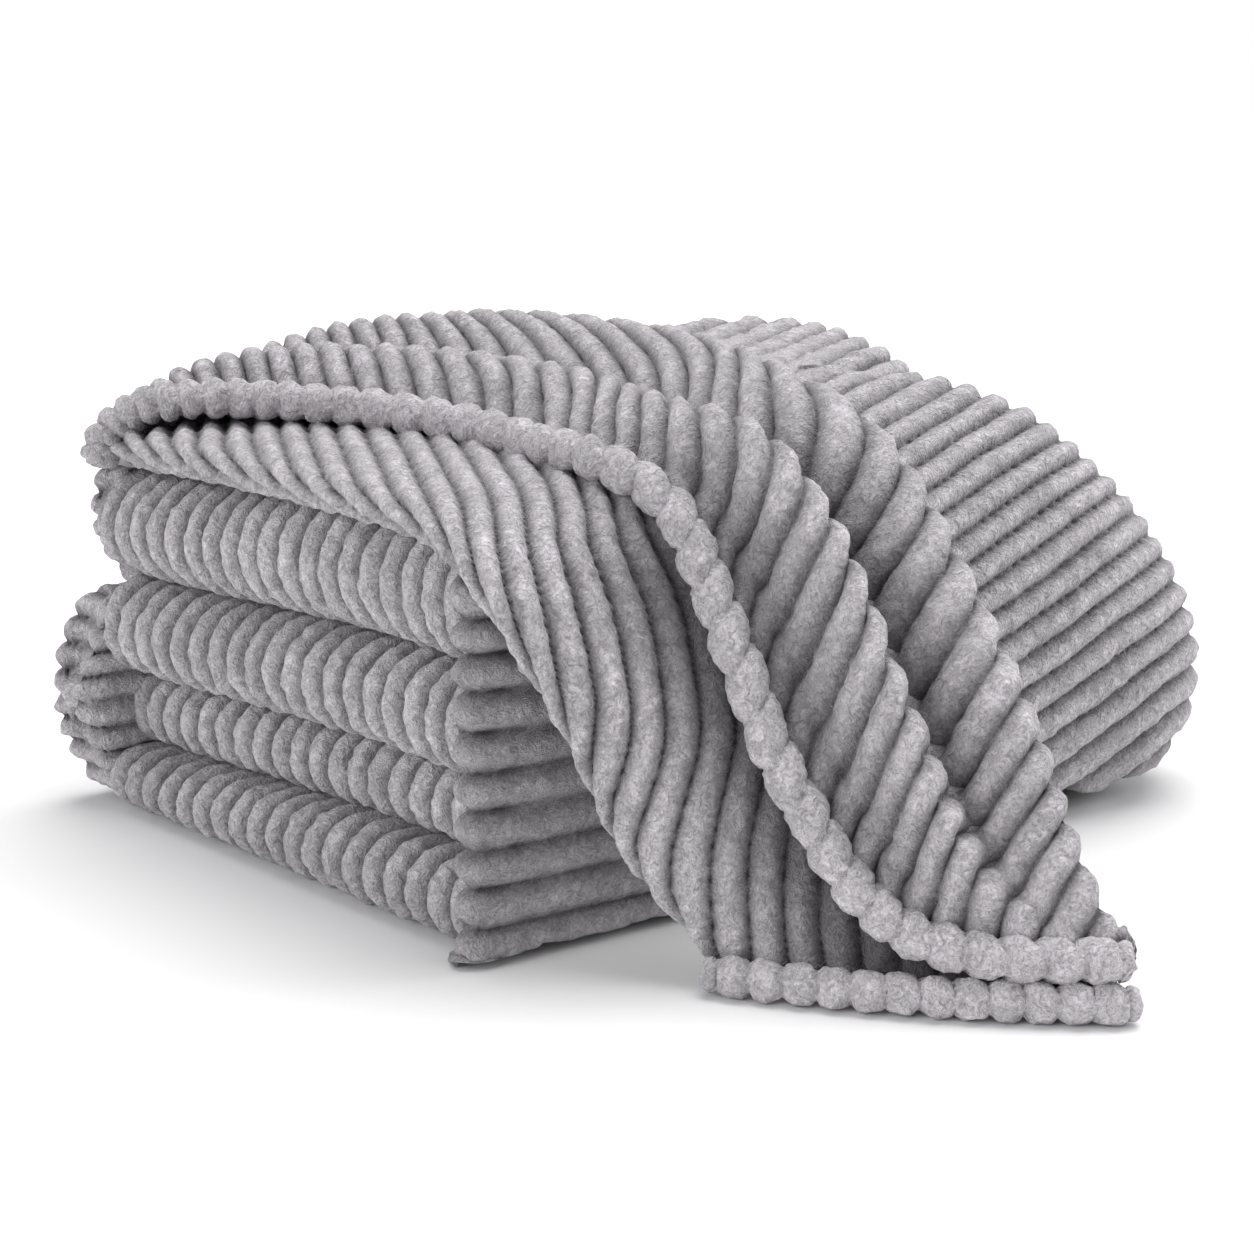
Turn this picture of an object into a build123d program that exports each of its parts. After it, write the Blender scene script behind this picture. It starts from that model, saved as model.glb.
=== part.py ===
from build123d import *
import os

# A folded throw blanket of thick ribbed plush cloth. The folded stack stands on Z = 0 with its long
# side facing -Y and its open, folded end facing -X. A doubled tail of the same cloth lies over the top
# and hangs over the long side down to the floor. All sizes are in millimetres.

# ---- driving dimensions -------------------------------------------------------------------------
stack_length = 300.0        # X, from the folded end to where the far roll begins
stack_width = 262.0         # Y, between the two long sides
far_roll = 100.0            # X, how far the rounded roll stands out past the stack
far_height = 177.0          # Z, crown of the far roll
bottom_height = 32.0        # Z, the four layers seen on the folded end, from the floor up
inner_height = 31.0
middle_height = 41.0
upper_height = 52.0
inner_setback = 12.0        # X, how far the inner layer's nose is drawn in
top_height = 15.5           # Z, the ply that lies over the four layers
side_thickness = 14.0       # Y, the upright ply on the near long side, at the folded end
side_swell = 22.0           # Y, how much fuller that side is at the far roll
side_height = 138.0         # Z
side_nose = 8.0             # X, how far the side ply stands past the folded end
back_thickness = 23.0       # Y, the ply that closes the hidden long side
upper_back_thickness = 16.0 # Y, the same ply beside the upper layers
over_height = 23.0          # Z, the waves of the tail that lie on top
over_left = 84.0            # X, rim of the tail on top, from the folded end
over_left_front = 72.0      # X, the same rim where it reaches the near edge
over_left_back = 64.0       # X, the same rim where it starts to turn
over_right = 214.0          # X, the tail's folded edge on top
over_corner = 38.0          # Y, how far short of the back edge the rim turns towards the folded end
hem_radius = 6.3            # the beaded rim
thread_radius = 0.5
clearance = 0.4             # between the stack and the tail that lifts off it
tail_reach = 204.0          # Y, how far the tail's tip lies from the stack on the floor
tail_ply = 12.0             # the hanging under ply, with the loft of its ribs
tail_over_ply = 11.0        # the hanging over ply
floor_left = (46.0, -80.0)  # X, Y from the near corner: where the floor rim starts
floor_right_x = 134.0       # X, where the tip lies
label_size = (22.0, 1.2, 34.0)

# ---- sizes that follow from them ----------------------------------------------------------------
x_low, x_high = -side_nose, stack_length + far_roll
y_low, y_high = -tail_reach, stack_width + back_thickness
corner_x = -(x_low + x_high) / 2
corner_y = -(y_low + y_high) / 2
inner_base = bottom_height
middle_base = inner_base + inner_height
upper_base = middle_base + middle_height
top_base = upper_base + upper_height
over_base = top_base + top_height
far_swell = side_thickness + side_swell


def at(x, y, z=0.0):
    """A point measured from the stack's near corner on the floor."""
    return Vector(corner_x + x, corner_y + y, z)


def write(piece, name):
    piece.part.label = name
    export_step(piece.part, f"parts/{name}.step")


os.makedirs("parts", exist_ok=True)


# ---- the four folded layers and the ply over them -----------------------------------------------
def folded_layer(nose_x, base, height):
    """A slab across the stack's width with a full round nose towards -X."""
    round_x = nose_x + height / 2
    top = base + height
    with BuildPart() as layer:
        with BuildSketch(Plane.XZ.offset(-(corner_y + stack_width))):
            with BuildLine():
                back_low = (corner_x + stack_length, base)
                back_high = (corner_x + stack_length, top)
                nose_low = (corner_x + round_x, base)
                nose_high = (corner_x + round_x, top)
                Line(back_low, nose_low)
                ThreePointArc(nose_low, (corner_x + nose_x, base + height / 2), nose_high)
                Polyline(nose_high, back_high, back_low)
            make_face()
        extrude(amount=stack_width)
    return layer


layers = {
    "bottom_fold": folded_layer(0.0, 0.0, bottom_height),
    "inner_fold": folded_layer(inner_setback, inner_base, inner_height),
    "middle_fold": folded_layer(0.0, middle_base, middle_height),
    "upper_fold": folded_layer(0.0, upper_base, upper_height),
    "top_ply": folded_layer(0.0, top_base, top_height),
}
for layer_name, layer in layers.items():
    write(layer, layer_name)

# ---- the upright plies on the two long sides ----------------------------------------------------
nose_round = side_thickness / 2
side_end = -(side_thickness + side_swell * stack_length / (stack_length + far_roll / 2))

with BuildPart() as side_wrap:
    with BuildSketch():
        with BuildLine():
            inner = Line(at(stack_length, 0), at(nose_round - side_nose, 0))
            middle = at(-side_nose, -nose_round)
            nose = ThreePointArc(inner @ 1, middle, at(nose_round - side_nose, -side_thickness))
            Polyline(nose @ 1, at(stack_length, side_end), at(stack_length, 0))
        make_face()
    extrude(amount=side_height)
    top_rim = side_wrap.faces().sort_by(Axis.Z)[-1].edges().filter_by(GeomType.LINE).sort_by(Axis.Y)[0]
    fillet(top_rim, radius=nose_round)
write(side_wrap, "side_wrap")


def back_layer(base, height, thickness):
    """A slab on the hidden long side with its outer edges rounded."""
    with BuildPart() as layer:
        with BuildSketch(Plane.YZ.offset(corner_x)):
            with Locations((corner_y + stack_width, base)):
                Rectangle(thickness, height, align=(Align.MIN, Align.MIN))
        extrude(amount=stack_length)
        outer = layer.faces().sort_by(Axis.Y)[-1].edges().filter_by(Axis.X)
        fillet(outer, radius=thickness * 0.45)
    return layer


lower_back = back_layer(0.0, upper_base, back_thickness)
write(lower_back, "back_wrap_lower")
upper_back = back_layer(upper_base, over_base - upper_base, upper_back_thickness)
write(upper_back, "back_wrap_upper")

# ---- the far roll -------------------------------------------------------------------------------
roll_corner = 0.6 * far_roll
roll_start = stack_length - far_roll
with BuildPart() as far_fold:
    with BuildSketch():
        with Locations(at((roll_start + x_high) / 2, (y_high - far_swell) / 2)):
            RectangleRounded(x_high - roll_start, y_high + far_swell, roll_corner)
    extrude(amount=far_height)
    fillet(far_fold.faces().sort_by(Axis.Z)[-1].edges(), radius=roll_corner * 0.8)
    fillet(far_fold.faces().sort_by(Axis.Z)[0].edges(), radius=roll_corner * 0.45)
    split(bisect_by=Plane.YZ.offset(corner_x + stack_length), keep=Keep.TOP)
write(far_fold, "far_fold")

# ---- the tail where it lies on top --------------------------------------------------------------
rim_level = over_base + hem_radius
rim_edge = hem_radius + 2.0
rim_turn = 0.87 * (stack_width - over_corner)
rim_end = (rim_edge, stack_width - rim_edge)
rim_route = [
    at(over_left_front, hem_radius, rim_level),
    at(over_left, stack_width * 0.43, rim_level),
    at(over_left_back, rim_turn, rim_level),
    at(*rim_end, rim_level),
]
rim_inset = hem_radius + 1.0

with BuildPart() as over_ply:
    with BuildSketch(Plane.XY.offset(over_base)):
        with BuildLine():
            left = [at(p.X - corner_x + rim_inset, p.Y - corner_y) for p in rim_route]
            left[0] = at(over_left_front + rim_inset, 0)
            left[-1] = at(rim_end[0] + 2 * rim_inset, stack_width)
            right = [at(over_right, stack_width), at(over_right, 0)]
            Polyline(*left, *right, close=True)
        make_face()
    extrude(amount=over_height)
    crown = over_ply.faces().sort_by(Axis.Z)[-1].edges()
    fillet(crown, radius=over_height * 0.35)
write(over_ply, "over_ply")


def rim(route, radius):
    """A round rim that follows a route, with smooth turns."""
    with BuildPart() as bead:
        with BuildLine():
            path = FilletPolyline(*route, radius=3 * hem_radius)
        with BuildSketch(Plane(origin=path @ 0, z_dir=path % 0)):
            Circle(radius)
        sweep()
    return bead


write(rim(rim_route, hem_radius), "hem_top")

# ---- the tail where it hangs down the side ------------------------------------------------------
tip_y = hem_radius - tail_reach
rim_z = hem_radius
tail_start = -clearance


def ply_section(left, right, lift, thickness):
    """A thin rectangle from left to right, its thickness standing along lift."""
    along = right - left
    with BuildSketch(Plane(origin=left, x_dir=along, z_dir=along.cross(lift))) as section:
        Rectangle(along.length, thickness, align=(Align.MIN, Align.CENTER))
    return section.sketch


floor_start = at(*floor_left, rim_z)
floor_end = at(floor_right_x, tip_y, rim_z)
rim_rise = Vector(0.35, 0.3, 1.0) * (hem_radius + 0.5)

level_z = (over_base + top_base) / 2
tail_stations = [
    (at(-4, tail_start, level_z), at(184, tail_start, level_z), Vector(0, 0, 1)),
    (at(-9, -28, 146), at(190, -54, 138), Vector(-0.2, -0.75, 0.6)),
    (at(14, -42, 92), at(178, -102, 98), Vector(-0.5, -0.75, 0.45)),
    (floor_start + rim_rise, floor_end + rim_rise, Vector(-0.75, -0.5, 0.4)),
]
over_starts = [0.42, 0.46, 0.57, 0.86]

with BuildPart() as tail_under:
    loft([ply_section(*station, tail_ply) for station in tail_stations], ruled=True)
write(tail_under, "tail_under")


def over_station(station, start):
    """The over ply's section: from start to the right end, lying on the under ply."""
    left, right, lift = station
    step = lift.normalized() * (tail_ply / 2 + tail_over_ply / 2 + clearance)
    return (left + (right - left) * start + step, right + step, lift)


over_stations = [over_station(*pair) for pair in zip(tail_stations, over_starts)]
with BuildPart() as tail_over:
    loft([ply_section(*station, tail_over_ply) for station in over_stations], ruled=True)
write(tail_over, "tail_over")

with BuildPart() as hem_floor:
    run = floor_end - floor_start
    with BuildSketch(Plane(origin=floor_start, z_dir=run)):
        Circle(hem_radius)
    extrude(amount=run.length)
    with Locations(floor_start, floor_end):
        Sphere(hem_radius)
write(hem_floor, "hem_floor")


def edge_point(station, out, up=0.0):
    """A point beside a section's left end, a little proud of it."""
    left, right, lift = station
    return left - (right - left).normalized() * out + lift.normalized() * up


rim_out = 1.32 * hem_radius
rim_up = hem_radius - tail_over_ply / 2 + 0.7
tail_rim_route = [edge_point(station, rim_out, rim_up) for station in over_stations]
tail_rim_route[0] = tail_rim_route[0] + Vector(0, -hem_radius, 0)
write(rim(tail_rim_route, hem_radius), "hem_tail")

# ---- the stitching and the label ----------------------------------------------------------------
thread_step = Vector(0.75 * hem_radius, 0, hem_radius)
thread_top_route = [point + thread_step for point in rim_route]
write(rim(thread_top_route, thread_radius), "thread_top")

thread_up = tail_over_ply / 2 + 3 * thread_radius
thread_tail_route = [edge_point(station, -1.0, thread_up) for station in over_stations]
thread_tail_route[0] = thread_tail_route[0] + Vector(0, -hem_radius, 0)
write(rim(thread_tail_route, thread_radius), "thread_tail")

with BuildPart() as care_label:
    with Locations(at(stack_length * 0.4, stack_width + upper_back_thickness, upper_base + upper_height / 2)):
        Box(*label_size, align=(Align.CENTER, Align.MIN, Align.CENTER))
write(care_label, "care_label")
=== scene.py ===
# %% [markdown]
# # A folded throw of ribbed plush
# The throw is one cloth, folded into a stack, with its last arm's length laid over the top and hanging
# down the long side to the floor. Ribs of deep pile run the length of the cloth, so each fold shows them
# from another side: as discs on the folded end, as ropes on the long side, as waves on the tail.
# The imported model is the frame. Its boxes place the pads, the label and the wall's plan. The wall's heights,
# part of the turns' sizes and the drape of the two plies and their rims are typed in millimetres instead,
# so they don't follow when the frame changes.

# %% Load the frame
import math

import bmesh
import bpy
import numpy as np
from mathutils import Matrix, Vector


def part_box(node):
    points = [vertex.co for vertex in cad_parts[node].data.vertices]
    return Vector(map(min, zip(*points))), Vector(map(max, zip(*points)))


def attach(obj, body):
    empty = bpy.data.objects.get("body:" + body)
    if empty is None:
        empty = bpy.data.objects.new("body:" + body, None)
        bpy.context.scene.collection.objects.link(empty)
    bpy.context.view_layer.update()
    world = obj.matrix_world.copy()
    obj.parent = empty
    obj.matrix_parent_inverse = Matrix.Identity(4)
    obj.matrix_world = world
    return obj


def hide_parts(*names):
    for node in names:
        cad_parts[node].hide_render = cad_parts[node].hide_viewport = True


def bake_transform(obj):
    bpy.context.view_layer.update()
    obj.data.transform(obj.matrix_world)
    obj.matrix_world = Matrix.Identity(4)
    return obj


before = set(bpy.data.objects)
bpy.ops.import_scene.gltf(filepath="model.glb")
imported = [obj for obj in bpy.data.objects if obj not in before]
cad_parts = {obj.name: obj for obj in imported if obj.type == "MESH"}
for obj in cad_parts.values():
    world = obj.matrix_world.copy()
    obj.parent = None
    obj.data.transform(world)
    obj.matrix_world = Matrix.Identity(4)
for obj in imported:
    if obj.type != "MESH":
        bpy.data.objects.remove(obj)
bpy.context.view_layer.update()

print("nodes:", ", ".join(sorted(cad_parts)))

# %% [markdown]
# Working sizes are in millimetres from the stack's near corner on the floor, the way a tape measure is
# held against it: x along the long side, y across the stack and z up. `to_frame` turns them into metres
# in the shared frame when a piece is finished. The stack's own sizes are read from the frame's boxes.

# %% Measure the stack
MM = 0.001
near_corner = np.array(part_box("bottom_fold")[0])


def box_mm(node):
    """The low and high corners of a node, in millimetres from the near corner."""
    low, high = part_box(node)
    return (np.array(low) - near_corner) / MM, (np.array(high) - near_corner) / MM


def to_frame(points):
    return np.asarray(points, float) * MM + near_corner


stack_length, stack_width = box_mm("bottom_fold")[1][:2]
side_low = box_mm("side_wrap")[0]
roll_low, roll_high = box_mm("far_fold")
back_high = box_mm("back_wrap_lower")[1]
rim_low, rim_high = box_mm("hem_floor")
top_of_stack = box_mm("top_ply")[1][2]
print(f"stack {stack_length:.0f} x {stack_width:.0f} x {top_of_stack:.0f} mm, roll to x {roll_high[0]:.0f}")

# %% [markdown]
# ## The studio
# A long lens stands a little over a metre away, low and to the left of the long side, so both open faces
# of the folds show. The floor and the surroundings are nearly white. The main light comes from above and
# a little behind. A weaker one from the left draws the folded end, and one from the far end draws the roll.

# %% Camera
look_at = Vector((-0.062, 0.032, 0.091))
camera_turn = math.radians(40.0)
camera_height = math.radians(13.2)
camera_distance = 1.20

lens = bpy.data.cameras.new("studio_camera")
lens.lens = 86.1
lens.sensor_width = 36.0
camera = bpy.data.objects.new("studio_camera", lens)
bpy.context.scene.collection.objects.link(camera)
view_line = Vector((
    math.sin(camera_turn) * math.cos(camera_height),
    math.cos(camera_turn) * math.cos(camera_height),
    -math.sin(camera_height),
))
camera.location = look_at - view_line * camera_distance
camera.rotation_euler = view_line.to_track_quat("-Z", "Y").to_euler()
bpy.context.scene.camera = camera
print("camera at", [round(c, 3) for c in camera.location])

# %% Floor, surroundings and lamps
scene = bpy.context.scene
scene.view_settings.view_transform = "Standard"


def plain_material(name, colour, roughness):
    material = bpy.data.materials.new(name)
    material.use_nodes = True
    shader = material.node_tree.nodes["Principled BSDF"]
    shader.inputs["Base Color"].default_value = (*colour, 1.0)
    shader.inputs["Roughness"].default_value = roughness
    return material


floor_half = 4.0
floor_mesh = bpy.data.meshes.new("studio_floor")
floor_bm = bmesh.new()
bmesh.ops.create_grid(floor_bm, x_segments=1, y_segments=1, size=floor_half)
floor_bm.to_mesh(floor_mesh)
floor_bm.free()
floor = bpy.data.objects.new("studio_floor", floor_mesh)
scene.collection.objects.link(floor)
floor_mesh.materials.append(plain_material("studio_floor_paint", (0.93, 0.93, 0.93), 0.9))

# the surroundings are seen as white paper, and light the object a good deal less than they show
surround_light = 0.32
world = bpy.data.worlds.new("studio_surroundings")
world.use_nodes = True
world_nodes = world.node_tree.nodes
world_link = world.node_tree.links.new
seen = world_nodes["Background"]
seen.inputs["Color"].default_value = (1.0, 1.0, 1.0, 1.0)
lit = world_nodes.new("ShaderNodeBackground")
lit.inputs["Color"].default_value = (0.97, 0.98, 1.0, 1.0)
lit.inputs["Strength"].default_value = surround_light
ray = world_nodes.new("ShaderNodeLightPath")
choice = world_nodes.new("ShaderNodeMixShader")
world_link(ray.outputs["Is Camera Ray"], choice.inputs["Fac"])
world_link(lit.outputs["Background"], choice.inputs[1])
world_link(seen.outputs["Background"], choice.inputs[2])
world_link(choice.outputs["Shader"], world_nodes["World Output"].inputs["Surface"])
scene.world = world


def soft_lamp(name, comes_from, strength, spread_degrees):
    """A broad, even light from one side, as from a large diffusing screen far away."""
    lamp = bpy.data.lights.new(name, "SUN")
    lamp.energy = strength
    lamp.angle = math.radians(spread_degrees)
    lamp_object = bpy.data.objects.new(name, lamp)
    lamp_object.rotation_euler = (-Vector(comes_from)).to_track_quat("-Z", "Y").to_euler()
    scene.collection.objects.link(lamp_object)


soft_lamp("key_lamp", (0.30, 0.10, 1.0), 2.6, 55.0)
soft_lamp("side_lamp", (-1.0, 0.0, 0.45), 1.2, 40.0)
soft_lamp("far_lamp", (1.0, -0.50, 0.50), 1.3, 35.0)

# %% [markdown]
# ## Pile
# The yarn stands up as short, dense pile. Its tips scatter light, so ribs look pale where they turn away,
# and the grooves between them keep it out; that dark is painted into the colour as shade, mixed in towards
# a dark groove shade by the `rib` value. Four scales make up the cloth: broad patches where a hand has
# brushed it, mottling about a finger wide, tufts a few millimetres wide, and single fibres. The shared
# group returns a colour from all four and from the `rib` value that each mesh carries, and a height from
# the last two. Where tufts and fibres stand higher they are also lighter: painted light on their tops and
# painted shade between them. The rib value is 0 in a groove and 1 on a crest, times a `painted_shade` value
# that darkens some stretches. It is painted in, in place of shadow and brushed pile, and stays when light or
# pose changes.

# %% A shared group for plush pile
def new_group(name, inputs, outputs):
    group = bpy.data.node_groups.new(name, "ShaderNodeTree")
    for socket_name, socket_type, value in inputs:
        socket = group.interface.new_socket(socket_name, in_out="INPUT", socket_type=socket_type)
        socket.default_value = value
    for socket_name, socket_type in outputs:
        group.interface.new_socket(socket_name, in_out="OUTPUT", socket_type=socket_type)
    return group


pile_group = new_group(
    "Plush pile",
    [
        ("Tip Colour", "NodeSocketColor", (0.5, 0.5, 0.5, 1.0)),
        ("Groove Shade Colour", "NodeSocketColor", (0.15, 0.15, 0.15, 1.0)),
        ("Rib", "NodeSocketFloat", 1.0),
        ("Tufts per metre", "NodeSocketFloat", 330.0),
    ],
    [("Colour", "NodeSocketColor"), ("Height", "NodeSocketFloat")],
)
nodes = pile_group.nodes
link = pile_group.links.new
group_in = nodes.new("NodeGroupInput")
group_out = nodes.new("NodeGroupOutput")
where = nodes.new("ShaderNodeTexCoord")


def noise_node(scale, detail, roughness=0.6):
    node = nodes.new("ShaderNodeTexNoise")
    node.inputs["Scale"].default_value = scale
    node.inputs["Detail"].default_value = detail
    node.inputs["Roughness"].default_value = roughness
    link(where.outputs["Object"], node.inputs["Vector"])
    return node


def spread(source, low, high, to_low=0.0, to_high=1.0):
    """Stretches the middle of a noise over a wider range."""
    node = nodes.new("ShaderNodeMapRange")
    node.inputs["From Min"].default_value = low
    node.inputs["From Max"].default_value = high
    node.inputs["To Min"].default_value = to_low
    node.inputs["To Max"].default_value = to_high
    link(source, node.inputs["Value"])
    return node.outputs["Result"]


def maths(operation, first, second):
    node = nodes.new("ShaderNodeMath")
    node.operation = operation
    for socket, value in zip(node.inputs, (first, second)):
        if isinstance(value, (int, float)):
            socket.default_value = value
        else:
            link(value, socket)
    return node.outputs[0]


brushed = noise_node(28.0, 2.0)
mottled = noise_node(120.0, 2.0)
tufts = noise_node(330.0, 3.0, 0.65)
tufts.inputs["Distortion"].default_value = 1.3
link(group_in.outputs["Tufts per metre"], tufts.inputs["Scale"])
fibres = noise_node(1100.0, 2.0, 0.7)

# painted shade: the colour runs from the tip colour down to the dark groove shade as the rib value falls
rib_shade = nodes.new("ShaderNodeMix")
rib_shade.data_type = "RGBA"
link(spread(group_in.outputs["Rib"], 0.08, 0.98), rib_shade.inputs["Factor"])
link(group_in.outputs["Groove Shade Colour"], rib_shade.inputs["A"])
link(group_in.outputs["Tip Colour"], rib_shade.inputs["B"])

tuft_height_share = 0.75
patches = spread(brushed.outputs["Fac"], 0.3, 0.7, 0.88, 1.10)
mottling = spread(mottled.outputs["Fac"], 0.3, 0.7, 0.86, 1.13)
# painted light and shade: the tuft and fibre noises that raise the bump also lighten the colour where they
# stand high, besides varying its tone
clumps = spread(tufts.outputs["Fac"], 0.32, 0.68, 0.64, 1.25)
tips = spread(fibres.outputs["Fac"], 0.3, 0.7, 0.80, 1.2)
broad = maths("MULTIPLY", patches, mottling)
value = maths("MULTIPLY", maths("MULTIPLY", broad, clumps), tips)
toned = nodes.new("ShaderNodeVectorMath")
toned.operation = "SCALE"
link(rib_shade.outputs["Result"], toned.inputs[0])
link(value, toned.inputs["Scale"])
link(toned.outputs["Vector"], group_out.inputs["Colour"])
tuft_height = maths("MULTIPLY", tufts.outputs["Fac"], tuft_height_share)
fibre_height = maths("MULTIPLY", fibres.outputs["Fac"], 1 - tuft_height_share)
link(maths("ADD", tuft_height, fibre_height), group_out.inputs["Height"])
print("pile group with", len(nodes), "nodes")


# %% Materials: cloth, rim, thread and label
def pile_material(name, tip, groove, tufts_per_metre, bump_depth, sheen):
    material = bpy.data.materials.new(name)
    material.use_nodes = True
    tree = material.node_tree
    shader = tree.nodes["Principled BSDF"]
    pile = tree.nodes.new("ShaderNodeGroup")
    pile.node_tree = pile_group
    pile.inputs["Tip Colour"].default_value = (*tip, 1.0)
    pile.inputs["Groove Shade Colour"].default_value = (*groove, 1.0)
    pile.inputs["Tufts per metre"].default_value = tufts_per_metre
    # the rib value carries the painted groove shade and each piece's painted shade
    rib = tree.nodes.new("ShaderNodeAttribute")
    rib.attribute_name = "rib"
    tree.links.new(rib.outputs["Fac"], pile.inputs["Rib"])
    bump = tree.nodes.new("ShaderNodeBump")
    bump.inputs["Strength"].default_value = 0.8
    bump.inputs["Distance"].default_value = bump_depth
    tree.links.new(pile.outputs["Height"], bump.inputs["Height"])
    tree.links.new(pile.outputs["Colour"], shader.inputs["Base Color"])
    tree.links.new(bump.outputs["Normal"], shader.inputs["Normal"])
    shader.inputs["Roughness"].default_value = 0.95
    shader.inputs["Specular IOR Level"].default_value = 0.15
    shader.inputs["Sheen Weight"].default_value = sheen
    shader.inputs["Sheen Roughness"].default_value = 0.45
    shader.inputs["Sheen Tint"].default_value = (1.0, 0.98, 1.0, 1.0)
    return material


tip_grey = (0.66, 0.625, 0.66)
# painted shade for the grooves, far darker than the cloth's own grey
groove_shade_grey = (0.085, 0.078, 0.085)
plush = pile_material("grey_plush", tip_grey, groove_shade_grey, 330.0, 0.0060, 0.35)
rim_plush = pile_material("grey_rim_plush", tip_grey, groove_shade_grey, 330.0, 0.0060, 0.35)
thread_finish = pile_material("grey_thread", (0.36, 0.345, 0.36), (0.2, 0.19, 0.2), 900.0, 0.0003, 0.1)
label_finish = pile_material("care_label_satin", (0.78, 0.78, 0.76), (0.6, 0.6, 0.6), 1400.0, 0.0001, 0.2)

# %% [markdown]
# ## Laying out cloth
# Every cloth piece starts as a flat grid from `bmesh.ops.create_grid`, like cloth on the cutting table.
# A `place` function then says where each point of that grid lies in the folded throw, how far along the
# count of ribs it is, how deep the ribs are there and, if it likes, how much painted shade lies there. The
# helper welds the grid's own edges together, closes open ends, turns the faces outwards and only then presses
# the grooves in along the normals, so ribs stand square to the cloth however it is folded. A little lumpiness
# keeps the pile from looking cast.

# %% Helpers: smooth lines, ribs and tufts
def through(stations, t):
    """A smooth line through a list of stations, at t = 0, 1, 2 and so on."""
    stations = np.asarray(stations, float)
    last = len(stations) - 1
    t = np.clip(np.asarray(t, float), 0, last - 1e-9)
    i = np.floor(t).astype(int)
    f = t - i
    if stations.ndim > 1:
        f = f[:, None]
    before, here = stations[np.maximum(i - 1, 0)], stations[i]
    there, after = stations[i + 1], stations[np.minimum(i + 2, last)]
    curve = (2 * before - 5 * here + 4 * there - after) * f * f
    twist = (3 * here - before - 3 * there + after) * f ** 3
    return 0.5 * (2 * here + (there - before) * f + curve + twist)


def ramp(value, low, high):
    """0 below low, 1 above high and smooth between."""
    t = np.clip((value - low) / (high - low), 0, 1)
    return t * t * (3 - 2 * t)


def crest(phase, fullness=0.55):
    """The section of the ribs: 0 in the groove at each whole number, 1 on the crest between."""
    return np.abs(np.sin(np.pi * phase)) ** fullness


def tuft_noise(points, cell, seed):
    """Smooth lumps about one cell across, from -1 to 1, the same on every run."""
    spots = points / cell
    low = np.floor(spots).astype(np.int64)
    f = spots - low
    f = f * f * (3 - 2 * f)
    total = np.zeros(len(points))
    for corner in np.ndindex(2, 2, 2):
        key = (low + corner) @ np.array([73856093, 19349663, 83492791]) + seed * 26544357
        key = ((key ^ (key >> 13)) * 1274126177) & 0xFFFFFFFF
        lump = ((key ^ (key >> 16)) & 0xFFFF) / 32767.5 - 1
        total += lump * np.prod(np.where(corner, f, 1 - f), axis=1)
    return total


# %% Helper: a cloth piece
groove_depth = 5.4


def read_points(mesh, field="co"):
    values = np.zeros(len(mesh.vertices) * 3)
    mesh.vertices.foreach_get(field, values)
    return values.reshape(-1, 3)


def read_values(mesh, key):
    values = np.zeros(len(mesh.vertices), np.float32)
    mesh.attributes[key].data.foreach_get("value", values)
    return values.astype(float)


# the rib value is the mask that mixes painted shade into the colour
def write_rib(mesh, values):
    attribute = mesh.attributes.get("rib") or mesh.attributes.new("rib", "FLOAT", "POINT")
    attribute.data.foreach_set("value", values.astype(np.float32))


def lay_cloth(name, columns, rows, place, material, lumps=0.85, grain=4.0, close_within=0.04):
    """Lays a grid of columns by rows out by place(u, v), closes it and presses the ribs in."""
    bm = bmesh.new()
    bmesh.ops.create_grid(bm, x_segments=columns, y_segments=rows, size=1.0)
    carried = {key: bm.verts.layers.float.new(key) for key in ("phase", "depth", "painted_shade")}
    flat = np.array([vert.co[:2] for vert in bm.verts])
    flat = (flat - flat.min(0)) / (flat.max(0) - flat.min(0))
    points, *values = place(flat[:, 0], flat[:, 1])
    # a piece that returns no painted shade gets none
    if len(values) == 2:
        values.append(np.ones(len(points)))
    for vert, point in zip(bm.verts, points.tolist()):
        vert.co = point
    for layer, column in zip(carried.values(), values):
        for vert, value in zip(bm.verts, column.tolist()):
            vert[layer] = value
    bmesh.ops.remove_doubles(bm, verts=bm.verts, dist=close_within)
    bmesh.ops.dissolve_degenerate(bm, edges=bm.edges, dist=close_within / 4)
    bmesh.ops.holes_fill(bm, edges=[edge for edge in bm.edges if edge.is_boundary], sides=0)
    bmesh.ops.recalc_face_normals(bm, faces=bm.faces)
    if bm.calc_volume(signed=True) < 0:
        bmesh.ops.reverse_faces(bm, faces=bm.faces)
    mesh = bpy.data.meshes.new(name)
    bm.to_mesh(mesh)
    bm.free()

    points, outward = read_points(mesh), read_points(mesh, "normal")
    phase, depth, painted_shade = (read_values(mesh, key) for key in carried)
    height = crest(phase + 0.10 * tuft_noise(points, 26.0, 3))
    press = -groove_depth * depth * (1 - height)
    press += lumps * (tuft_noise(points, grain, 1) + 0.6 * tuft_noise(points, grain * 0.55, 2))
    points = to_frame(points + outward * press[:, None])
    mesh.vertices.foreach_set("co", points.ravel())
    # painted shade: the rib value is darker in the grooves and wherever the piece paints shade
    write_rib(mesh, painted_shade * (1 - np.clip(depth, 0, 1) * (1 - height)))
    for key in carried:
        mesh.attributes.remove(mesh.attributes[key])
    mesh.shade_smooth()
    mesh.materials.append(material)
    piece = bpy.data.objects.new(name, mesh)
    scene.collection.objects.link(piece)
    print(f"{name}: {len(mesh.polygons)} faces")
    return piece


# %% [markdown]
# ## The four folded layers
# On the folded end each layer turns back on itself in a fat round nose, and the ribs run round it, so the
# nose looks like a row of discs. A slab with a bulging front edge would do for its size; here each layer
# is a closed pad whose section is a U lying on its side. Towards both ends of the row the section shrinks
# on an ellipse, which closes the pad and bends the last ribs into nested arcs. The pads settle a little
# lower at the hidden side, where less cloth lies in them.

# %% Folded layers
disc_pitch = 13.3
end_round = 17.0
nose_share = 0.36
leg_share = 0.14
leg_shortfall = 40


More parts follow.
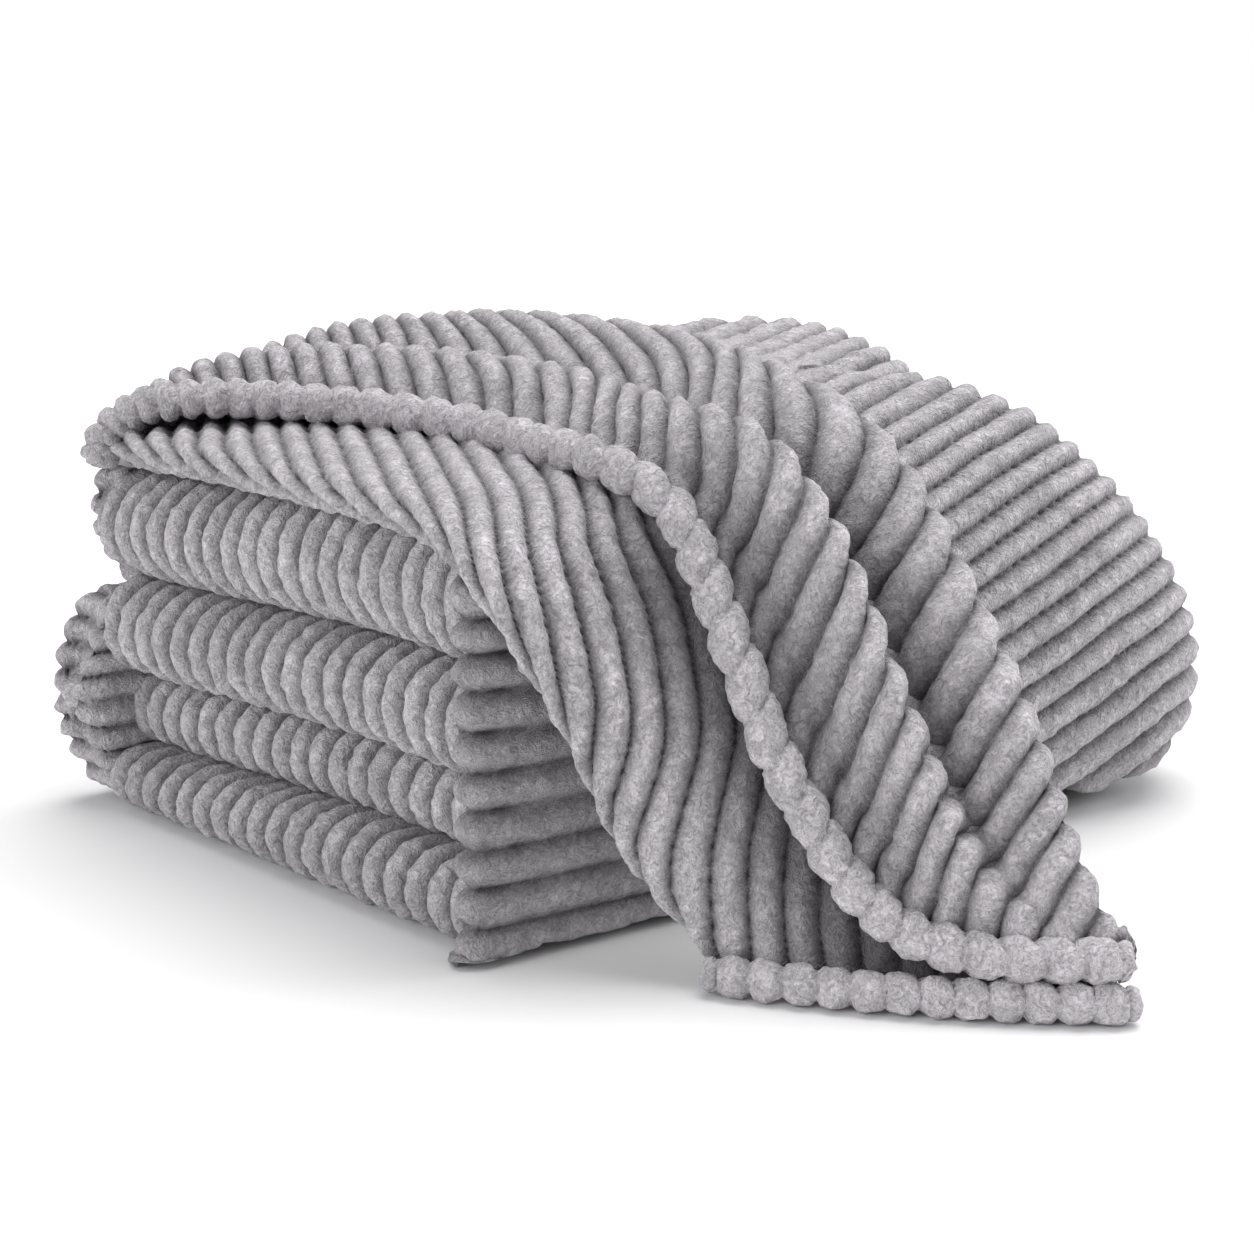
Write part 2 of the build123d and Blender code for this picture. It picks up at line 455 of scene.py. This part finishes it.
def fold_place(node, lower_sag, upper_sag):
    """How a folded layer lies: u runs along the row of discs, v round the section."""
    low, high = box_mm(node)
    half_height = (high[2] - low[2]) / 2
    width = stack_width + 6.0
    straight = width - 2 * end_round
    quarter = math.pi / 2 * end_round
    run = straight + 2 * quarter

    def place(u, v):
        along = u * run
        near = np.clip(1 - along / quarter, 0, 1)
        far = np.clip(1 - (run - along) / quarter, 0, 1)
        turn = (near + far) * math.pi / 2
        y = np.where(near > 0, end_round * (1 - np.sin(near * math.pi / 2)), end_round + along - quarter)
        y = np.where(far > 0, width - end_round * (1 - np.sin(far * math.pi / 2)), y)
        size = np.cos(turn)
        section_u = half_height * size
        bend = (v - 0.5) / nose_share
        angle = np.clip(bend, -1, 1) * math.pi / 2
        leg = (np.abs(v - 0.5) - nose_share) / leg_share
        back = np.where(leg > 0, leg, 0) * (stack_length - leg_shortfall)
        swell = 1.5 * tuft_noise(np.stack([y, y * 0, y * 0 + low[2]], 1), 70.0, 7)
        nose = low[0] + half_height + swell
        x = nose - half_height * 1.04 * size * np.cos(angle) + back
        z = (low[2] + high[2]) / 2 + section_u * np.sin(angle)
        drop = ramp(y, 60, stack_width)
        z = z - drop * (lower_sag + (upper_sag - lower_sag) * (z - low[2]) / (2 * half_height))
        phase = along / disc_pitch
        depth = np.clip(size * 1.6, 0, 1) * (1 - 0.7 * np.clip(leg * 4, 0, 1))
        return np.stack([x, y, z], 1), phase, depth

    return place


layer_sags = {"bottom_fold": (0, 6), "inner_fold": (6, 5), "middle_fold": (5, 5), "upper_fold": (5, 12)}
for node, sags in layer_sags.items():
    layer = lay_cloth("plush_" + node, 240, 74, fold_place(node, *sags), plush)
    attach(layer, "stack")
    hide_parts(node)

# %% [markdown]
# ## The long side and the far roll
# The cloth wraps the stack's long side and rolls round its far end in one sweep. At the folded end its
# ribs lie level, one above another like ropes, and end in round knobs. Towards the far end they climb
# over the roll. One wall follows the plan of the stack and leans in over the top. It starts inside the
# stack, turns round the near corner in a small half-round nose, and ends beside the hidden side's turns.
# Its near and hidden sides overlap by a finger's width on top. Its ribs are counted by height near the
# corner, and by a slanting measure on the roll, with a slow change between them where the tail covers it.

# %% Long side and far roll
rope_pitch = 14.4
roll_pitch = 10.8
roll_corner = 62.0
nose_radius = 8.5
lead_run = 30.0
back_run = 190.0
ply_overlap = 16
wall_back = stack_width + 20.0
wall_front_near = side_low[1] * 0.36
wall_front_far = roll_low[1] + 2.0


def wall_plan(w):
    """A point of the wall's outline on plan, from inside the near corner to the hidden side."""
    near_run = math.pi * nose_radius
    front_run = roll_high[0] - roll_corner - side_low[0] - nose_radius
    corner_run = math.pi / 2 * roll_corner
    end_run = wall_back - wall_front_far - 2 * roll_corner
    lengths = np.cumsum([0, front_run, corner_run, end_run, corner_run, back_run])
    s = w * (lengths[-1] + lead_run + near_run) - lead_run - near_run
    x, y = np.zeros_like(s), np.zeros_like(s)
    x_corner = roll_high[0] - roll_corner
    on = s <= lengths[1]
    x = np.where(on, side_low[0] + nose_radius + s, x)
    y = np.where(on, wall_front_near + (wall_front_far - wall_front_near) * np.clip(s / front_run, 0, 1), y)
    angle = np.clip(-s / nose_radius, 0, math.pi)
    past_nose = np.clip(-s - near_run, 0, None)
    x = x + np.where(s < 0, past_nose - s - nose_radius * np.sin(angle), 0)
    y = y + nose_radius * (1 - np.cos(angle))
    angle = (s - lengths[1]) / roll_corner
    on = (s > lengths[1]) & (s <= lengths[2])
    x = np.where(on, x_corner + roll_corner * np.sin(angle), x)
    y = np.where(on, wall_front_far + roll_corner * (1 - np.cos(angle)), y)
    on = (s > lengths[2]) & (s <= lengths[3])
    x = np.where(on, roll_high[0], x)
    y = np.where(on, wall_front_far + roll_corner + s - lengths[2], y)
    angle = (s - lengths[3]) / roll_corner
    on = (s > lengths[3]) & (s <= lengths[4])
    x = np.where(on, x_corner + roll_corner * np.cos(angle), x)
    y = np.where(on, wall_back - roll_corner + roll_corner * np.sin(angle), y)
    on = s > lengths[4]
    x = np.where(on, x_corner - (s - lengths[4]), x)
    y = np.where(on, wall_back - 12 * ramp(s - lengths[4], back_run - 50, back_run), y)
    return x, y


rope_profile = [(14, 3), (3, 3), (0, 13), (0, 75), (0, 128), (5, 146), (18, 154), (40, 156)]
roll_profile = [(46, 2), (16, 10), (2, 36), (0, 66), (5, 104), (22, 146), (50, 172), (90, 181)]
shoulder_profile = [(46, 2), (16, 10), (2, 34), (0, 60), (12, 96), (40, 133), (76, 159), (112, 176)]
profile_end = len(rope_profile) - 1


def wall_place(u, v):
    """u runs along the wall on plan, v up it and in over the top."""
    x, y = wall_plan(u)
    t = v * (profile_end + 1.0)
    rope = through(rope_profile, np.minimum(t, profile_end))
    roll = through(roll_profile, np.minimum(t, profile_end))
    shoulder = through(shoulder_profile, np.minimum(t, profile_end))
    low_corner = (ramp(x, 300, 390) * (1 - ramp(y, 50, 170)))[:, None]
    roll = roll * (1 - low_corner) + shoulder * low_corner
    far = ramp(x, 130, 250)[:, None]
    section = rope * (1 - far) + roll * far
    inset, z = section[:, 0], section[:, 1]
    inset = inset * (1 - 0.62 * ramp(y, 120, wall_back - 10))
    foot_of_nose = (1 - ramp(x, 0, 25)) * (y < 20) * (t < 3)
    inset = inset * (1 - 0.9 * foot_of_nose)
    x_corner = np.clip(x, 20, roll_high[0] - 150)
    # the near and the hidden side overlap a little where they meet on top, as two plies do
    hidden = ramp(y, 60, 200)
    y_corner = stack_width * 0.47 - ply_overlap * hidden
    reach = np.stack([x_corner - x, y_corner - y], 1)
    length = np.maximum(np.linalg.norm(reach, axis=1), 1e-6)
    share = np.clip(inset / length, 0, 1)
    closing = np.clip(t - profile_end, 0, 1)
    px = x + reach[:, 0] * share
    py = y + reach[:, 1] * share
    # the last step runs in under the tail to the middle line
    px = px + (x_corner - px) * closing
    py = py + (y_corner - py) * closing
    z = z - 4 * closing * hidden
    slant = (-0.28 * px + 0.55 * py + 0.74 * z) / roll_pitch
    level = z / rope_pitch
    change = ramp(px, 110, 230)
    change = np.where(y > 40, 1.0, change)
    phase = level * (1 - change) + slant * change
    knobs = 0.5 * (1 - ramp(px, side_low[0] + 2, side_low[0] + 16))
    depth = (1 + knobs) * (1 - 0.8 * closing)
    # painted shade: the ropes of the long side are painted a little darker, in place of the shade they lie in
    shaded = 0.3 * (1 - change) * (1 - ramp(py, 10, 40))
    return np.stack([px, py, z], 1), phase, depth, 1 - shaded


wall = lay_cloth("plush_wall_and_roll", 560, 190, wall_place, plush)
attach(wall, "stack")
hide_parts("side_wrap", "far_fold")

# %% [markdown]
# ## The hidden long side
# Behind, the lower three layers are closed by one turn of the cloth and the upper two by a thinner one.
# Each is a pad with level ribs. From the folded end only their round edges show, like a stack of fingers.

# %% Turns on the hidden side
finger_pitch = 11.2


def turn_place(z_low, z_high, thickness, reach_out):
    """u runs along the turn from the folded end, v round its section."""
    x_end = stack_length + 30.0
    middle = (z_low + z_high) / 2
    half = (z_high - z_low) / 2
    y_front = stack_width - 14.0

    def place(u, v):
        reach = u ** 1.5 * (x_end + reach_out)
        cap = np.sqrt(np.clip(1 - (1 - np.clip(reach / 14.0, 0, 1)) ** 2, 0, 1))
        angle = (v - 0.5) * 2 * math.pi
        side, up = np.cos(angle), np.sin(angle)
        square = np.sign(side) * np.abs(side) ** 0.75
        rise = np.sign(up) * np.abs(up) ** 0.8
        y = y_front + (thickness + 14) * 0.5 * (1 + square * (0.25 + 0.75 * cap))
        z = middle + half * rise * (0.15 + 0.85 * cap)
        x = -reach_out + reach + 10.0 * np.abs(rise) ** 3 * (1 - ramp(reach, 0, 60))
        y = y - 14.0 * ramp(x, x_end - 80, x_end)
        return np.stack([x, y, z], 1), (z - z_low) / finger_pitch, 1.0 + 0.4 * (1 - cap)

    return place


turns = {
    "back_wrap_lower": (2.0, 94.0, back_high[1] - stack_width, 13.0),
    "back_wrap_upper": (88.0, top_of_stack - 8, 15.0, -5.0),
}
for node, sizes in turns.items():
    turn = lay_cloth("plush_" + node, 170, 150, turn_place(*sizes), plush)
    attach(turn, "stack")
    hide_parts(node)

# %% [markdown]
# ## The tail's under ply
# The top ply of the stack runs on over the near edge and hangs to the floor as the tail's under ply. It
# is one sheet: its left border is the fold that shows, and its ribs run askew, so they leave over that
# fold like the strands of a rope. Two lines of stations, the fold on the left and the hidden border on
# the right, carry it from the back of the stack over the edge and down to the floor.

# %% Under ply
left_fold = [
    (6, 260, 160), (-2, 190, 165), (-4, 110, 167), (-5, 40, 166), (-7, 6, 161), (-9, -16, 148),
    (0, -28, 122), (15, -37, 88), (25, -53, 48), (44, -78, 9),
]
hidden_border = [
    (232, 260, 170), (226, 190, 174), (210, 110, 175), (194, 40, 174), (172, 6, 171), (168, -20, 161),
    (163, -54, 134), (154, -98, 94), (144, -147, 49), (134, -193, 9),
]
sheet_stations = len(left_fold) - 1
tail_rib_pitch = 13.2
under_top_share = 0.72
under_thickness = 16.0
under_edge_radius = 9.0


def bed(s, t):
    """The upper face of the under ply: s from the left fold to the hidden border, t from back to floor."""
    left, right = through(left_fold, t), through(hidden_border, t)
    return left * (1 - s)[:, None] + right * s[:, None]


def square_to(surface, s, t, step=0.01):
    """The direction that stands square on a surface."""
    across = surface(s + step, t) - surface(s - step, t)
    down = surface(s, t + step) - surface(s, np.maximum(t - step, 0))
    up = np.cross(down, across)
    return up / np.maximum(np.linalg.norm(up, axis=1), 1e-9)[:, None]


ribs_over_fold = [-11.0, -8.2, -4.7, -1.7, -0.3, 0.6, 1.4, 2.8, 5.2, 7.5]


def ribs_at_fold(t):
    """How many ribs have left over the fold by station t, counted from the stack's near edge."""
    return through(ribs_over_fold, t)


def two_faced(u, face_share):
    """Where a column lies on a doubled sheet: its share across, and 1 above or -1 below."""
    upper = u <= face_share
    across = np.where(upper, u / face_share, 1 - (u - face_share) / (1 - face_share))
    return np.clip(across, 0, 1), np.where(upper, 1.0, -1.0)


def rolled(share, width, radius):
    """Even steps over a ply and round its two rolled edges.

    Returns the share of the width, the fullness from 0 at the edge to 1, and the distance run."""
    quarter = math.pi / 2 * radius
    run = width - 2 * radius + 2 * quarter
    along = share * run
    turn = np.clip(np.minimum(along, run - along) / radius, 0, math.pi / 2)
    inner = radius * (1 - np.cos(turn))
    across = np.where(along < quarter, inner, radius + along - quarter)
    across = np.where(run - along < quarter, width - inner, across)
    return across / width, np.sin(turn), along


def under_place(u, v):
    t = v * sheet_stations
    share, face = two_faced(u, under_top_share)
    width = np.linalg.norm(through(hidden_border, t) - through(left_fold, t), axis=1)
    thick = under_thickness - 2.0 * ramp(t, 4, 6)
    s, round_off, along = rolled(share, width, under_edge_radius)
    ends = np.sqrt(np.clip(1 - (1 - np.clip(np.minimum(v, 1 - v) / 0.012, 0, 1)) ** 2, 0, 1))
    up = square_to(bed, s, t)
    points = bed(s, t) + up * (-thick / 2 + face * thick / 2 * round_off * ends)[:, None]
    # below the fold the ribs run on, so they wrap round it; at the hidden border they fade
    phase = ribs_at_fold(t) + face * along / tail_rib_pitch
    depth = ramp(1 - s, 0, 0.04)
    # painted shadow: the ply is painted darker beside the hem that stands over it
    hem_shadow = ramp(s, 0.12, 0.45) * ramp(t, 3.6, 6)
    return points, phase, depth, 1 - 0.75 * hem_shadow


under_ply = lay_cloth("plush_under_ply", 210, 330, under_place, plush)

# %% [markdown]
# ## The tail's over ply
# The doubled end of the cloth lies on the under ply in two big soft waves. Its beaded hem shows on the
# left and its fold on the right, and both run down to one corner on the floor. Three guide lines lie on
# the bed: the hem, the middle and the fold. The waves are lifted off them, and the ribs slant across, so
# each wave looks twisted like a rope.

# %% Over ply
hem_line = [
    (10, 264, 148), (24, 240, 168), (62, 190, 170), (84, 118, 169), (80, 62, 168), (73, 12, 168),
    (78, -22, 155), (77, -52, 118), (78, -88, 68), (92, -132, 27), (136, -194, 22),
]
middle_line = [
    (10, 278, 150), (70, 258, 170), (140, 212, 175), (158, 125, 176), (150, 66, 175), (130, 16, 174),
    (120, -28, 163), (116, -66, 127), (112, -112, 76), (114, -154, 37), (137, -195, 20),
]
fold_line = [
    (40, 280, 150), (120, 272, 164), (200, 248, 170), (217, 160, 173), (202, 78, 173), (172, 16, 172),
    (161, -26, 157), (153, -74, 119), (146, -128, 70), (141, -172, 38), (137, -196, 18),
]
hem_count = [0, 5, 11, 16, 19, 22, 24.5, 27.5, 31, 35.5, 41.5]
over_stations = len(hem_line) - 1
over_top_share = 0.74
over_thickness = 10.0
over_edge_radius = 6.0


def over_bed(q, k):
    """The surface that the over ply rests on: q from hem to fold, k from the back to the corner."""
    hem, middle, fold = through(hem_line, k), through(middle_line, k), through(fold_line, k)
    a, b, c = (1 - q) * (1 - 2 * q), 4 * q * (1 - q), q * (2 * q - 1)
    return hem * a[:, None] + middle * b[:, None] + fold * c[:, None]


def one_wave(q, start, top, end):
    """A round wave between two sharp valleys: it climbs from start to top and drops to end."""
    climb = np.sin(np.clip((q - start) / (top - start), 0, 1) * math.pi / 2)
    drop = np.cos(np.clip((q - top) / (end - top), 0, 1) * math.pi / 2)
    return np.where(q < top, climb, drop)


def two_waves(q, k):
    """The two waves' heights from 0 to 1, where they hang and where they show."""
    hanging = ramp(k, 4.5, 7)
    first = one_wave(q, 0.08 + 0.10 * hanging, 0.27 + 0.17 * hanging, 0.46 + 0.12 * hanging)
    second = one_wave(q, 0.46 + 0.12 * hanging, 0.84 + 0.02 * hanging, 1.06)
    fade = ramp(k, 0, 1.5) * (1 - ramp(k, 7.6, 9.6))
    return first, second, hanging, fade


def wave_lift(q, k):
    """How high the upper face stands over the bed. The waves lean towards the fold as they hang."""
    first, second, hanging, fade = two_waves(q, k)
    loft = 6.0 * (1 - ramp(k, 9.2, 10))
    return loft + ((14.0 + 12.0 * hanging) * first + (20.0 + 8.0 * hanging) * second) * fade


def over_face(q, k):
    return over_bed(q, k) + square_to(over_bed, q, k) * wave_lift(q, k)[:, None]


def ply_width(k):
    return np.linalg.norm(through(fold_line, k) - through(hem_line, k), axis=1)


def rib_lead(q, k):
    """How many ribs the slant gains between the hem and q."""
    return ply_width(k) / 15.5 * np.clip(q, 0, 1) ** 0.85


dense_k = np.linspace(0, over_stations, 2001)
dense_count = through(hem_count, dense_k)


def station_on_rib(q, count):
    """Where along the ply the rib with this number passes q."""
    k = np.interp(count, dense_count, dense_k)
    for _ in range(30):
        k = 0.4 * k + 0.6 * np.interp(count - rib_lead(q, k), dense_count, dense_k)
    return k


def over_place(u, v):
    q, face = two_faced(u, over_top_share)
    count = v * hem_count[-1]
    k = station_on_rib(q, count)
    edge = over_edge_radius / np.maximum(ply_width(k), 8.0)
    inward = np.minimum(q, 1 - q) / edge
    round_off = np.sqrt(np.clip(1 - (1 - np.clip(inward, 0, 1)) ** 2, 0, 1))
    ends = np.sqrt(np.clip(np.minimum(k, over_stations - k) / 0.15, 0, 1))
    up = square_to(over_face, q, k)
    points = over_face(q, k) + up * (over_thickness / 2 * (face * round_off * ends - 1))[:, None]
    # painted shade: the upper face is painted darker where the waves are low, in their valleys and on their
    # lower flanks, in place of shadow and of pile brushed against the view
    first, second, hanging, fade = two_waves(q, k)
    low = 1 - np.maximum(first, second)
    painted_shade = 1 - 0.5 * fade * (0.35 + 0.65 * hanging) * np.where(face > 0, low, 0)
    return points, count, np.where(face > 0, 1.0, 0.5) * ends, painted_shade


over_ply = lay_cloth("plush_over_ply", 130, 516, over_place, plush)

# %% [markdown]
# ## Rims
# The cloth's cut end is rolled under and sewn, and each rib ends in a bead there. A rim is a tube along
# the hem whose girth swells once for every rib; it is counted with the same numbers as the ribs of its
# ply, so beads and ribs meet.

# %% Beaded rims
def tube_place(line, count, radius, bead, twist=0.0, closing=0.014):
    """u runs round the tube, v along it; twist slants the beads as the ribs slant beside them."""

    def place(u, v):
        centre = line(v)
        step = 0.002
        ahead = line(np.minimum(v + step, 1)) - line(np.maximum(v - step, 0))
        ahead /= np.linalg.norm(ahead, axis=1)[:, None]
        side = np.cross(ahead, (0.0, 0.0, 1.0))
        side /= np.linalg.norm(side, axis=1)[:, None]
        top = np.cross(side, ahead)
        angle = u * 2 * math.pi
        beads = count(v) - twist * np.cos(angle)
        swell = np.sqrt(np.clip(1 - (2 * (beads % 1) - 1) ** 2, 0, 1))
        cap = np.sqrt(np.clip(1 - (1 - np.clip(np.minimum(v, 1 - v) / closing, 0, 1)) ** 2, 0, 1))
        girth = radius * (1 - bead + bead * swell) * cap
        round_u = np.cos(angle)[:, None] * side + np.sin(angle)[:, None] * top
        return centre + round_u * girth[:, None], beads, np.zeros_like(swell)

    return place


rim_radius = (rim_high[2] - rim_low[2]) / 2 + 1.2
floor_rim_start = np.array([42.0, -77.0, rim_radius])
floor_rim_end = np.array([136.0, -198.0, rim_radius])


def floor_rim_line(v):
    sag = 5.0 * np.sin(np.pi * v)
    straight = floor_rim_start + (floor_rim_end - floor_rim_start) * v[:, None]
    return straight + np.stack([-sag, -sag, sag * 0], 1)


def floor_rim_count(v):
    return 7.5 + 13.0 * v


def over_rim_line(v):
    k = v * over_stations
    q = np.zeros_like(k)
    return over_face(q, k) - np.stack([q + 0.8, q, q + 1.0], 1)


def over_rim_count(v):
    return through(hem_count, v * over_stations)


bead_depth = 0.42
floor_rim = tube_place(floor_rim_line, floor_rim_count, rim_radius, bead_depth, 0.12, 0.04)
over_rim = tube_place(over_rim_line, over_rim_count, rim_radius + 0.8, bead_depth, 0.3)
rim_floor = lay_cloth("rim_floor", 30, 190, floor_rim, rim_plush, lumps=0.75, grain=3.4)
rim_over = lay_cloth("rim_over", 30, 560, over_rim, rim_plush, lumps=0.75, grain=3.4)

# %% [markdown]
# ## Thread and label
# A row of stitches holds each rim. It sinks into the pile, so only a thin line shows from close by. The
# care label is a folded satin strip, sewn to the hidden side, and it is left blank.

# %% Thread and care label
def thread_line(v):
    k = 0.4 + v * (over_stations - 1.2)
    q = np.full_like(k, 0.035)
    return over_face(q, k) - 4.2 * square_to(over_face, q, k)


stitch_count = 300.0
thread_radius = 0.8
stitches = tube_place(thread_line, lambda v: stitch_count * v, thread_radius, 0.4)
thread_run = lay_cloth("thread_run", 8, 900, stitches, thread_finish, lumps=0.0)

label_low, label_high = box_mm("care_label")
label_bm = bmesh.new()
bmesh.ops.create_cube(label_bm, size=1.0)
label_size = label_high - label_low
label_centre = (label_low + label_high) / 2 + (0, 2.0, 0)
bmesh.ops.scale(label_bm, vec=Vector(label_size), verts=label_bm.verts)
bmesh.ops.translate(label_bm, vec=Vector(label_centre), verts=label_bm.verts)
bmesh.ops.bevel(
    label_bm, geom=label_bm.edges, offset=0.4, segments=2, affect="EDGES", profile=0.5, material=-1
)
bmesh.ops.subdivide_edges(label_bm, edges=label_bm.edges, cuts=3, use_grid_fill=True)
label_mesh = bpy.data.meshes.new("care_label_strip")
label_bm.to_mesh(label_mesh)
label_bm.free()
label_mesh.vertices.foreach_set("co", to_frame(read_points(label_mesh)).ravel())
write_rib(label_mesh, np.ones(len(label_mesh.vertices)))
label_mesh.materials.append(label_finish)
label = bpy.data.objects.new("care_label_strip", label_mesh)
scene.collection.objects.link(label)
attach(label, "stack")
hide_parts("care_label")

# %% [markdown]
# ## What moves with what
# The pieces that cross the near top edge keep their places in the frame; the floor rim goes with the tail.

# %% Bodies
for piece in (under_ply, over_ply, rim_over, thread_run):
    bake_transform(piece)
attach(rim_floor, "tail")

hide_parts("top_ply", "tail_under")
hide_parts("over_ply", "tail_over")
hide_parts("hem_top", "hem_tail")
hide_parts("hem_floor")
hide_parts("thread_top", "thread_tail")
